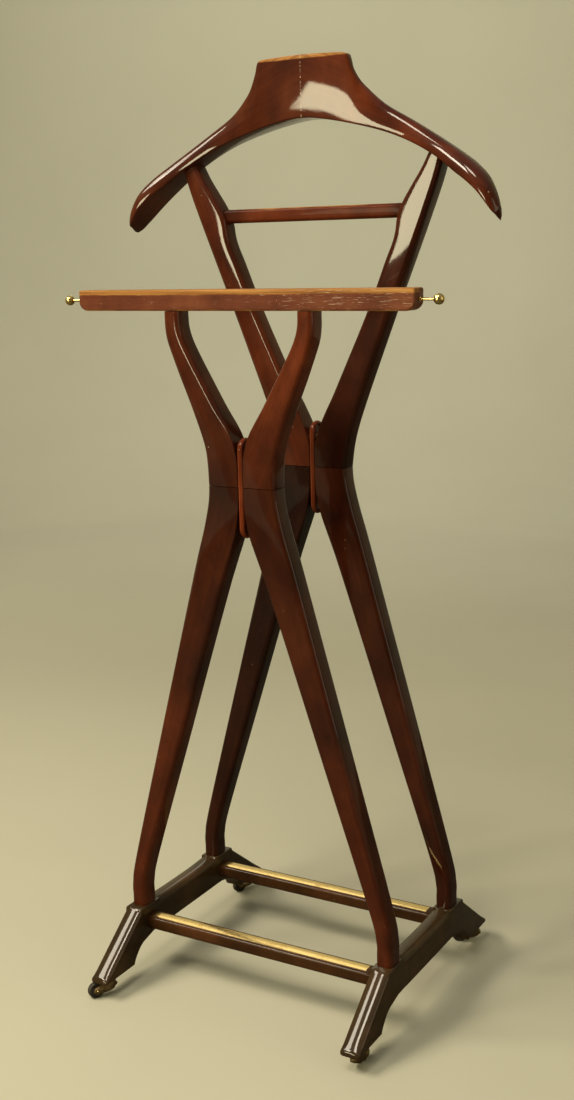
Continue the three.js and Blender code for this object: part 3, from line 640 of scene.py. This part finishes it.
def rail_ring(y, hand):
    """One upright slice across a side rail: flat sides and bottom under an arched top."""
    s = abs(y)
    level_half = 15
    under = FOOT_BOTTOM if s >= FOOT_HEEL else of_reach(rail_under, s)
    climb = np.clip((s - level_half) / (LAND_START - level_half), 0, 1) ** 2
    fall = max(s - LAND_END, 0) / (FOOT_TIP - LAND_END)
    past = np.clip((s - FOOT_TIP) / TIP_ROUND + 1, 0, 1)
    rounded = TIP_ROUND * (1 - math.sqrt(1 - past**2))
    top = RAIL_CROWN + (LAND_TOP - RAIL_CROWN) * climb
    top -= (LAND_TOP - FOOT_BOTTOM - TIP_THICKNESS) * fall + rounded
    height = top - under
    on_land = LAND_START - 0.5 < s < LAND_END + 1
    arch = 0.6 if on_land else min(6.0, height * 0.5)
    edge = min(1.2, height * 0.2)
    half = RAIL_WIDTH / 2 - rounded
    u = np.cos(np.linspace(0, math.pi, 21))
    drop = np.abs(u) ** 12 if on_land else 1 - np.sqrt(1 - 0.98 * u * u)
    ring = [(half - edge, under), (half, under + edge)]
    ring += list(zip(half * u, top - arch * drop))
    ring += [(-half, under + edge), (edge - half, under)]
    return [(hand * (RAIL_X + x), y, z) for x, z in ring]


def side_rail(name, node, hand):
    """A rail with a sloping foot at both ends, closely sliced where its section changes fast."""
    half = np.concatenate([
        np.linspace(0, LAND_START - 2, 16), [LAND_START - 0.8, LAND_START, LAND_START + 2, 80],
        np.linspace(LAND_END - 0.5, LAND_END + 5, 6), np.linspace(LAND_END + 7, FOOT_HEEL, 12),
        np.linspace(FOOT_HEEL + 3, FOOT_TIP - TIP_ROUND, 14),
        FOOT_TIP - TIP_ROUND * (1 - np.sin(np.linspace(0.2, math.pi / 2, 7))),
    ])
    rings = [rail_ring(y, hand) for y in np.concatenate([-half[:0:-1], half])]
    piece = loft(name, rings, (0.001, 1, 0), offset=400 * hand)
    dress(piece, "frame", RAIL_WOOD, "wood", node)


# Rungs and their strips
def bar_rings(low, high, radius, ends=0.2):
    """Rings along X for a bar that fills a box, with a small round at each end."""
    centre, half = (low + high) / 2, (high - low) / 2
    end = [(low[0] + ends * (1 - math.sin(angle)), ends * (1 - math.cos(angle)))
           for angle in np.linspace(0, math.pi / 2, 4)]
    stations = end[::-1]
    stations += [(x, 0) for x in np.linspace(low[0], high[0], 24)[1:-1]]
    stations += [(low[0] + high[0] - x, inset) for x, inset in end]
    rings = []
    for x, inset in stations:
        outline = rounded_rectangle(half[1] - inset, half[2] - inset, radius - inset)
        rings.append([(x, centre[1] + y, centre[2] + z) for y, z in outline])
    return rings


def rung(place):
    """The bar between the side rails, from face to face, with its brass strip."""
    low, high = box_mm(place + "_rung")
    inner_face = RAIL_X - RAIL_WIDTH / 2 - 0.2
    low[0], high[0] = -inner_face, inner_face
    rings = bar_rings(low, high, 3.5)
    piece = loft(place + "_rung_wood", rings, (1, 0.001, 0), offset=high[1] * 5)
    dress(piece, "frame", SATIN_WOOD, "wood", place + "_rung")
    brass_strip(place)


def brass_strip(place):
    """A half-oval strip of brass along the rung's top, held by a row of round-headed pins."""
    low, high = box_mm(place + "_rung_strip")
    centre_y, half = (low[1] + high[1]) / 2, (high[1] - low[1]) / 2
    outline = [(half * math.cos(a), math.sin(a) ** 0.8) for a in np.linspace(0, math.pi, 15)]
    shoulder = 0.9
    rise = high[2] - low[2] - shoulder
    rings = []
    for x in np.linspace(low[0], high[0], 30):
        ring = [(x, centre_y + half, low[2])]
        ring += [(x, centre_y + y, low[2] + shoulder + rise * h) for y, h in outline]
        ring.append((x, centre_y - half, low[2]))
        rings.append(ring)
    strip = loft(place + "_strip_brass", rings, (1, 0.001, 0))
    dress(strip, "frame", BRASS, "brass", place + "_rung_strip")
    head_radius = 1.1
    head = [(head_radius, high[2] - 0.6)]
    head += [(head_radius * math.cos(a), high[2] - 0.35 + 0.32 * math.sin(a))
             for a in np.linspace(0, 1.5, 6)]
    for i, x in enumerate(np.linspace(low[0] + 11, high[0] - 11, 6)):
        pin = turned(f"{place}_strip_pin_{i}", head, "z", 16)
        put(pin, (x, centre_y + 3.6 * (-1) ** i, -0.25))
        dress(pin, "frame", AGED_BRASS, "brass")


# Board, bar and knobs
def board():
    """The dressing board, whose lower corners are rounded off."""
    corner, arris = 11.0, 2.2
    depth = (board_high[1] - board_low[1]) / 2
    centre_y = (board_high[1] + board_low[1]) / 2
    tall = board_high[2] - board_low[2]
    ends = [0, 0.3, 0.8, 1.5, 2.2, 3, 4, 5, 6.5, 8, 9.5, 11]
    stations = np.concatenate([
        board_low[0] + np.array(ends), np.linspace(board_low[0] + 14, board_high[0] - 14, 80),
        board_high[0] - np.array(ends[::-1]),
    ])
    rings = []
    for x in stations:
        from_end = min(x - board_low[0], board_high[0] - x)
        short = max(corner - from_end, 0)
        rise = corner - math.sqrt(max(corner**2 - short**2, 0))
        inset = arris - math.sqrt(max(arris**2 - max(arris - from_end, 0) ** 2, 0))
        rise = max(rise, inset)
        half_z = (tall - rise - inset) / 2
        middle_z = board_low[2] + rise + half_z
        ring = board_outline(depth - inset, half_z, max(arris - inset, 0.15))
        rings.append([(x, centre_y + y, middle_z + z) for y, z in ring])

    def wear(points):
        from_top = board_high[2] - points[:, 2]
        from_front = points[:, 1] - board_low[1]
        arris_front = smoothstep(7.5 - from_top - 0.35 * from_front, 0, 4.5)
        arris_back = 0.8 * smoothstep(4.0 - from_top, 0, 3) * smoothstep(from_front, 17, 21)
        low_edge = 0.6 * smoothstep(3.0 - (points[:, 2] - board_low[2]), 0, 2.5)
        end_rub = 0.12 * smoothstep(np.abs(points[:, 0]), 206, 211)
        return np.clip(np.maximum(np.maximum(arris_front, arris_back), low_edge) + end_rub, 0, 1)

    piece = loft("dressing_board_wood", rings, (1, 0.001, 0), wear, offset=60)
    dress(piece, "frame", BOARD_WOOD, "worn_wood", "dressing_board")


def board_outline(half_depth, half_height, radius):
    """The board's section, with extra points beside each arris for the rubbed band to fade
    over. It has the same count of points everywhere, also where the board is too thin for them."""
    beside = (1.2, 3, 5.5)
    count = 24 + 8 * len(beside)
    corners = rounded_rectangle(half_depth, half_height, radius, 5)
    points = []
    for i, start in enumerate(corners):
        stop = corners[(i + 1) % len(corners)]
        points.append(start)
        gap = np.linalg.norm(stop - start)
        if gap > 8:
            points += [start + (stop - start) * (d / gap) for d in beside]
            points += [start + (stop - start) * (1 - d / gap) for d in beside[::-1]]
    return np.array(points) if len(points) == count else resampled(points, count)


def resampled(points, count):
    """The same outline with count points."""
    loop = np.vstack([points, points[:1]])
    length = np.concatenate([[0], np.cumsum(np.linalg.norm(np.diff(loop, axis=0), axis=1))])
    wanted = np.linspace(0, length[-1], count, endpoint=False)
    return np.stack([np.interp(wanted, length, loop[:, i]) for i in range(2)], 1)


def trouser_bar():
    """The bar between the rear arms, up to a little way inside them."""
    reach = 118
    low, high = bar_low.copy(), bar_high.copy()
    low[0], high[0] = -reach, reach

    def wear(points):
        from_top = bar_high[2] - points[:, 2]
        middle = smoothstep(95 - np.abs(points[:, 0]), 0, 30)
        return middle * smoothstep(3.2 - from_top, 0, 3.0) * 0.62

    # Darker towards each end: painted shade where the bar runs into the arms.
    def tone(points):
        return np.interp(np.abs(points[:, 0]), [70, reach], [0.9, 0.3])

    rings = bar_rings(low, high, 4)
    piece = loft("trouser_bar_wood", rings, (1, 0.001, 0), wear, tone, offset=-330)
    dress(piece, "frame", BAR_WOOD, "worn_wood", "trouser_bar")


def turned(name, profile, axis, sides=40):
    """A solid of revolution: profile is (radius, distance) along the x, y or z axis."""
    turns = np.linspace(0, 2 * math.pi, sides, endpoint=False)
    rings = []
    for radius, distance in profile:
        across = radius * np.cos(turns), radius * np.sin(turns)
        ring = np.stack([np.full(sides, distance), *across], 1)
        rings.append(np.roll(ring, "xyz".index(axis), axis=1))
    rings = np.array(rings)
    return mesh_piece(name, rings.reshape(-1, 3), loft_faces(*rings.shape[:2]), sharp=28)


def put(piece, location, turn=0.0):
    """Moves a piece's mesh, so that its object stays at the origin."""
    matrix = Matrix.Translation(Vector(location) * MM) @ Matrix.Rotation(turn, 4, "Z")
    piece.data.transform(matrix)


def knob(name, node, hand):
    """A brass ball on a stem, with a thin collar where the stem enters the board's end."""
    low, high = box_mm(node)
    stem, collar, board_end = 1.5, 2.3, board_high[0]
    radius = (high[2] - low[2]) / 2
    centre = middle_of(node)
    ball = max(abs(low[0]), abs(high[0])) - radius
    neck = math.asin(stem / radius)
    profile = [(stem, board_end - 8), (stem, board_end + 0.4), (collar, board_end + 0.5),
               (collar, board_end + 1.1), (stem, board_end + 1.3)]
    profile += [(radius * math.sin(a), ball - radius * math.cos(a))
                for a in np.linspace(neck, math.pi - 0.03, 20)]
    piece = turned(name, [(r, hand * x) for r, x in profile], "x")
    put(piece, (0, centre[1], centre[2]))
    dress(piece, "frame", BRASS, "brass", node)


# Casters
def refined(name, node, width=0.5):
    """A copy of a CAD node's mesh, with its hard edges rounded to the given width."""
    source = frame["nodes"][node]
    piece = bpy.data.objects.new(name, source.data.copy())
    piece.data.materials.clear()
    bpy.context.scene.collection.objects.link(piece)
    tidy = bmesh.new()
    tidy.from_mesh(piece.data)
    bmesh.ops.remove_doubles(tidy, verts=tidy.verts, dist=1e-6)
    bmesh.ops.dissolve_limit(tidy, angle_limit=math.radians(4), verts=tidy.verts, edges=tidy.edges)
    hard = [e for e in tidy.edges if e.is_manifold and e.calc_face_angle(0) > math.radians(40)]
    bmesh.ops.bevel(tidy, geom=hard, offset=width * MM, segments=2, affect="EDGES",
                    clamp_overlap=True)
    tidy.to_mesh(piece.data)
    tidy.free()
    piece.data.shade_smooth()
    piece.data.set_sharp_from_angle(angle=math.radians(40))
    return piece


def caster_plate(corner, pivot):
    """A round plate under the foot, with a pin up into the foot and a pintle down through the
    horn, whose head the horn hangs on."""
    node = "caster_plate_" + corner
    low, high = box_mm(node)
    pintle, head, rim, pin, tip = 1.6, 2.9, 10, 2, 0.2
    bottom, under, face, top = low[2], FOOT_BOTTOM - 1.7, FOOT_BOTTOM - GAP, high[2]
    plate = turned(node + "_brass", [
        (tip, bottom), (head - 0.3, bottom), (head, bottom + 0.4), (head, bottom + 1.3),
        (pintle, bottom + 1.4), (pintle, under), (rim - 1, under), (rim - 0.2, under + 0.3),
        (rim, under + 0.8), (rim, face), (pin, face), (pin, top - 1), (tip, top),
    ], "z")
    put(plate, (pivot[0], pivot[1], 0))
    dress(plate, "frame", AGED_BRASS, "aged_brass", node)


def caster_axle(corner, hub, turn):
    """A pin through the horn, with its ends rounded over."""
    node = "caster_axle_" + corner
    half, radius, tip = 6.7, 1.2, 0.3
    axle = turned(node + "_brass", [
        (tip, -half), (radius - 0.2, 0.1 - half), (radius, 0.4 - half),
        (radius, half - 0.4), (radius - 0.2, half - 0.1), (tip, half),
    ], "y", 24)
    put(axle, hub, turn)
    dress(axle, "caster_" + corner, BRASS, "brass", node)


def caster_wheel(corner, hub, turn):
    """A solid wheel with a boss round its bore, a thinner web and a rounded tread."""
    node = "caster_wheel_" + corner
    half, bore, boss, web, shoulder = 4.0, 1.5, 3.6, 7.8, 8.9
    tread = hub[2] - 1.3
    section = [(bore, -half), (boss, -half), (boss + 0.6, 0.3 - half), (boss + 1, 0.9 - half),
               (web, 0.9 - half), (web + 0.6, 0.6 - half), (shoulder, 0.6 - half)]
    section += [(tread + 1.2 * math.sin(a), 2.0 - half - 1.3 * math.cos(a))
                for a in np.linspace(0.4, math.pi / 2, 5)]
    wheel = wheel_ring(node + "_tread", section + [(r, -y) for r, y in section[::-1]])
    put(wheel, hub, turn)
    dress(wheel, "wheel_" + corner, TREAD, "wheel", node)


def caster(corner):
    """A plate under the foot, a horn that swivels on it, and a wheel on the horn's axle."""
    joints = {joint["name"]: joint for joint in frame["joints"]}
    swivel, spin = joints["caster_swivel_" + corner], joints["wheel_spin_" + corner]
    hub = np.array(spin["pos_m"]) / MM
    turn = math.atan2(-spin["axis"][0], spin["axis"][1])
    caster_plate(corner, np.array(swivel["pos_m"]) / MM)
    horn_node = "caster_horn_" + corner
    horn = refined(horn_node + "_brass", horn_node)
    dress(horn, "caster_" + corner, AGED_BRASS, "aged_brass", horn_node)
    caster_axle(corner, hub, turn)
    caster_wheel(corner, hub, turn)


def wheel_ring(name, profile, sides=48):
    """A wheel about the y axis with a bore through it."""
    turns = np.linspace(0, 2 * math.pi, sides, endpoint=False)
    vertices = [(r * math.cos(t), y, r * math.sin(t)) for r, y in profile for t in turns]
    faces = []
    for i in range(len(profile)):
        j = (i + 1) % len(profile)
        for k in range(sides):
            n = (k + 1) % sides
            faces.append((i * sides + k, i * sides + n, j * sides + n, j * sides + k))
    return mesh_piece(name, vertices, faces, sharp=30)


# The object
waisted_frame("front", -1)
waisted_frame("rear", 1)
for frame_place, frame_end in (("front", -1), ("rear", 1)):
    spacer(frame_place + "_spacer_wood", frame_place + "_waist_spacer", frame_end * FRAME_Y)
    rung(frame_place)
hanger()
board()
trouser_bar()
for rail_side, rail_hand in (("left", -1), ("right", 1)):
    side_rail(f"side_rail_{rail_side}_wood", f"side_rail_{rail_side}", rail_hand)
    knob(f"board_knob_{rail_side}_brass", f"board_knob_{rail_side}", rail_hand)
for caster_corner in ("front_left", "front_right", "rear_left", "rear_right"):
    caster(caster_corner)
for node_name, node in frame["nodes"].items():
    if "dowel" in node_name:
        node.data.materials.clear()
        node.data.materials.append(DOWEL)


# Floor, lights and camera
def studio():
    """A pale floor that curves up into a wall all round, far from the stand."""
    flat, curve, wall_top, sides = 3.0, 1.6, 4.4, 96
    profile = [(flat / 2, 0.0), (flat, 0.0)]
    profile += [(flat + curve * math.sin(a), curve - curve * math.cos(a))
                for a in np.linspace(0.1, math.pi / 2, 14)]
    profile += [(flat + curve, 2 * curve), (flat + curve, wall_top)]
    turns = np.linspace(0, 2 * math.pi, sides, endpoint=False)
    vertices = [(r * math.cos(t), r * math.sin(t), z) for r, z in profile for t in turns]
    faces = [tuple(range(sides))]
    for i in range(len(profile) - 1):
        for j in range(sides):
            k = (j + 1) % sides
            faces.append((i * sides + k, i * sides + j, (i + 1) * sides + j, (i + 1) * sides + k))
    mesh = bpy.data.meshes.new("studio_floor")
    mesh.from_pydata(vertices, [], faces)
    mesh.shade_smooth()
    mesh.set_sharp_from_angle(angle=math.radians(30))
    floor = bpy.data.objects.new("studio_floor", mesh)
    bpy.context.scene.collection.objects.link(floor)
    g = Graph("studio_paper")
    position = g.node("ShaderNodeTexCoord").outputs["Object"]
    cloud = g.noise(position, 1.3, 3.0, 0.5)
    colour = g.ramp(cloud, (0.3, (0.46, 0.447, 0.335)), (0.7, (0.49, 0.477, 0.36)))
    floor.data.materials.append(g.finish(Base_Color=colour, Roughness=0.9))


def area_light(name, location, target, size, watts, colour, size_y=None, mirrored=True, roll=0):
    """A soft lamp that the camera doesn't see. One that isn't mirrored lights the surfaces without
    showing in their gloss."""
    data = bpy.data.lights.new(name, "AREA")
    data.energy = watts
    data.color = colour
    data.size = size
    if size_y:
        data.shape = "RECTANGLE"
        data.size_y = size_y
    light = bpy.data.objects.new(name, data)
    light.location = location
    light.rotation_euler = (Vector(target) - Vector(location)).to_track_quat("-Z", "Y").to_euler()
    light.rotation_euler.rotate_axis("Z", math.radians(roll))
    light.visible_camera = False
    light.visible_glossy = mirrored
    bpy.context.scene.collection.objects.link(light)


def flag():
    """A dark card over the floor and up behind the camera, seen only in the stand's gloss."""
    reach, front, back, top = 3.0, -2.95, 2.6, 4.0
    corners = [(y, z) for y, z in ((back, 0.001), (front, 0.001), (front, top))]
    vertices = [(x, y, z) for y, z in corners for x in (-reach, reach)]
    mesh = bpy.data.meshes.new("flag")
    mesh.from_pydata(vertices, [], [(0, 1, 3, 2), (2, 3, 5, 4)])
    card = bpy.data.objects.new("flag", mesh)
    card.visible_camera = card.visible_diffuse = card.visible_shadow = False
    card.visible_transmission = card.visible_volume_scatter = False
    bpy.context.scene.collection.objects.link(card)
    g = Graph("dark_card")
    weave = g.noise(g.node("ShaderNodeTexCoord").outputs["Object"], 400.0)
    rough = g.between(weave, 0.3, 0.7, 0.8, 1.0)
    card.data.materials.append(g.finish(Base_Color=(0.075, 0.07, 0.045, 1.0), Roughness=rough))


def lights():
    """Soft lamps, a dark card for the stand to mirror, and an even dim air. The last three lamps
    are for the floor and the backdrop, so they don't show in the stand's gloss."""
    warm, golden, pale = (1.0, 0.89, 0.7), (1.0, 0.9, 0.58), (1.0, 0.96, 0.88)
    area_light("key_softbox", (-1.3, -1.75, 2.45), (0, 0, 0.5), 0.6, 34, warm)
    area_light("overhead_left", (-1.75, -1.1, 2.6), (0, 0, 0.3), 0.9, 42, warm)
    area_light("overhead_right", (-0.1, -1.25, 2.7), (0, 0, 0.3), 0.5, 17, warm)
    area_light("low_window", (-0.85, -2.25, 1.0), (0, 0, 1.0), 0.8, 17, golden, 0.36, roll=-15)
    area_light("right_window", (2.6, -0.3, 1.3), (0, 0, 0.7), 0.7, 5, warm, 1.6)
    area_light("back_glow", (-1.75, 2.4, 2.45), (0, 0, 0.1), 1.1, 6, warm)
    area_light("floor_fill", (0.2, -1.1, 2.4), (0.1, -0.7, 0), 1.5, 9, pale, mirrored=False)
    area_light("front_wall", (1.0, -2.3, 3.7), (1.6, -4.4, 1.6), 1.6, 22, pale, mirrored=False)
    area_light("backdrop", (-1.2, 2.3, 2.3), (-1.95, 4.3, 1.0), 1.4, 30, pale, mirrored=False)
    flag()
    world = bpy.data.worlds.new("studio_air")
    world.use_nodes = True
    air = world.node_tree.nodes["Background"].inputs
    air["Color"].default_value = (1.0, 0.95, 0.84, 1.0)
    air["Strength"].default_value = 0.25
    bpy.context.scene.world = world
    bpy.context.scene.view_settings.view_transform = "Standard"


def camera():
    """Right of centre and a little above the board, looking down at the stand and slightly
    rolled."""
    azimuth, tilt, roll = math.radians(30.285), math.radians(12.099), math.radians(-1.453)
    place = (0.81517, -1.39211, 0.87727)
    level = Vector((math.cos(azimuth), math.sin(azimuth), 0))
    inward = Vector((-math.sin(azimuth), math.cos(azimuth), 0))
    forward = inward * math.cos(tilt) - Vector((0, 0, math.sin(tilt)))
    upright = level.cross(forward)
    right = math.cos(roll) * level + math.sin(roll) * upright
    up = math.cos(roll) * upright - math.sin(roll) * level
    data = bpy.data.cameras.new("camera")
    data.sensor_width = 36.0
    data.lens = 46.165
    data.clip_end = 50.0
    viewer = bpy.data.objects.new("camera", data)
    turned_axes = Matrix((right, up, -forward)).transposed().to_4x4()
    viewer.matrix_world = Matrix.Translation(place) @ turned_axes
    bpy.context.scene.collection.objects.link(viewer)
    bpy.context.scene.camera = viewer


studio()
lights()
camera()
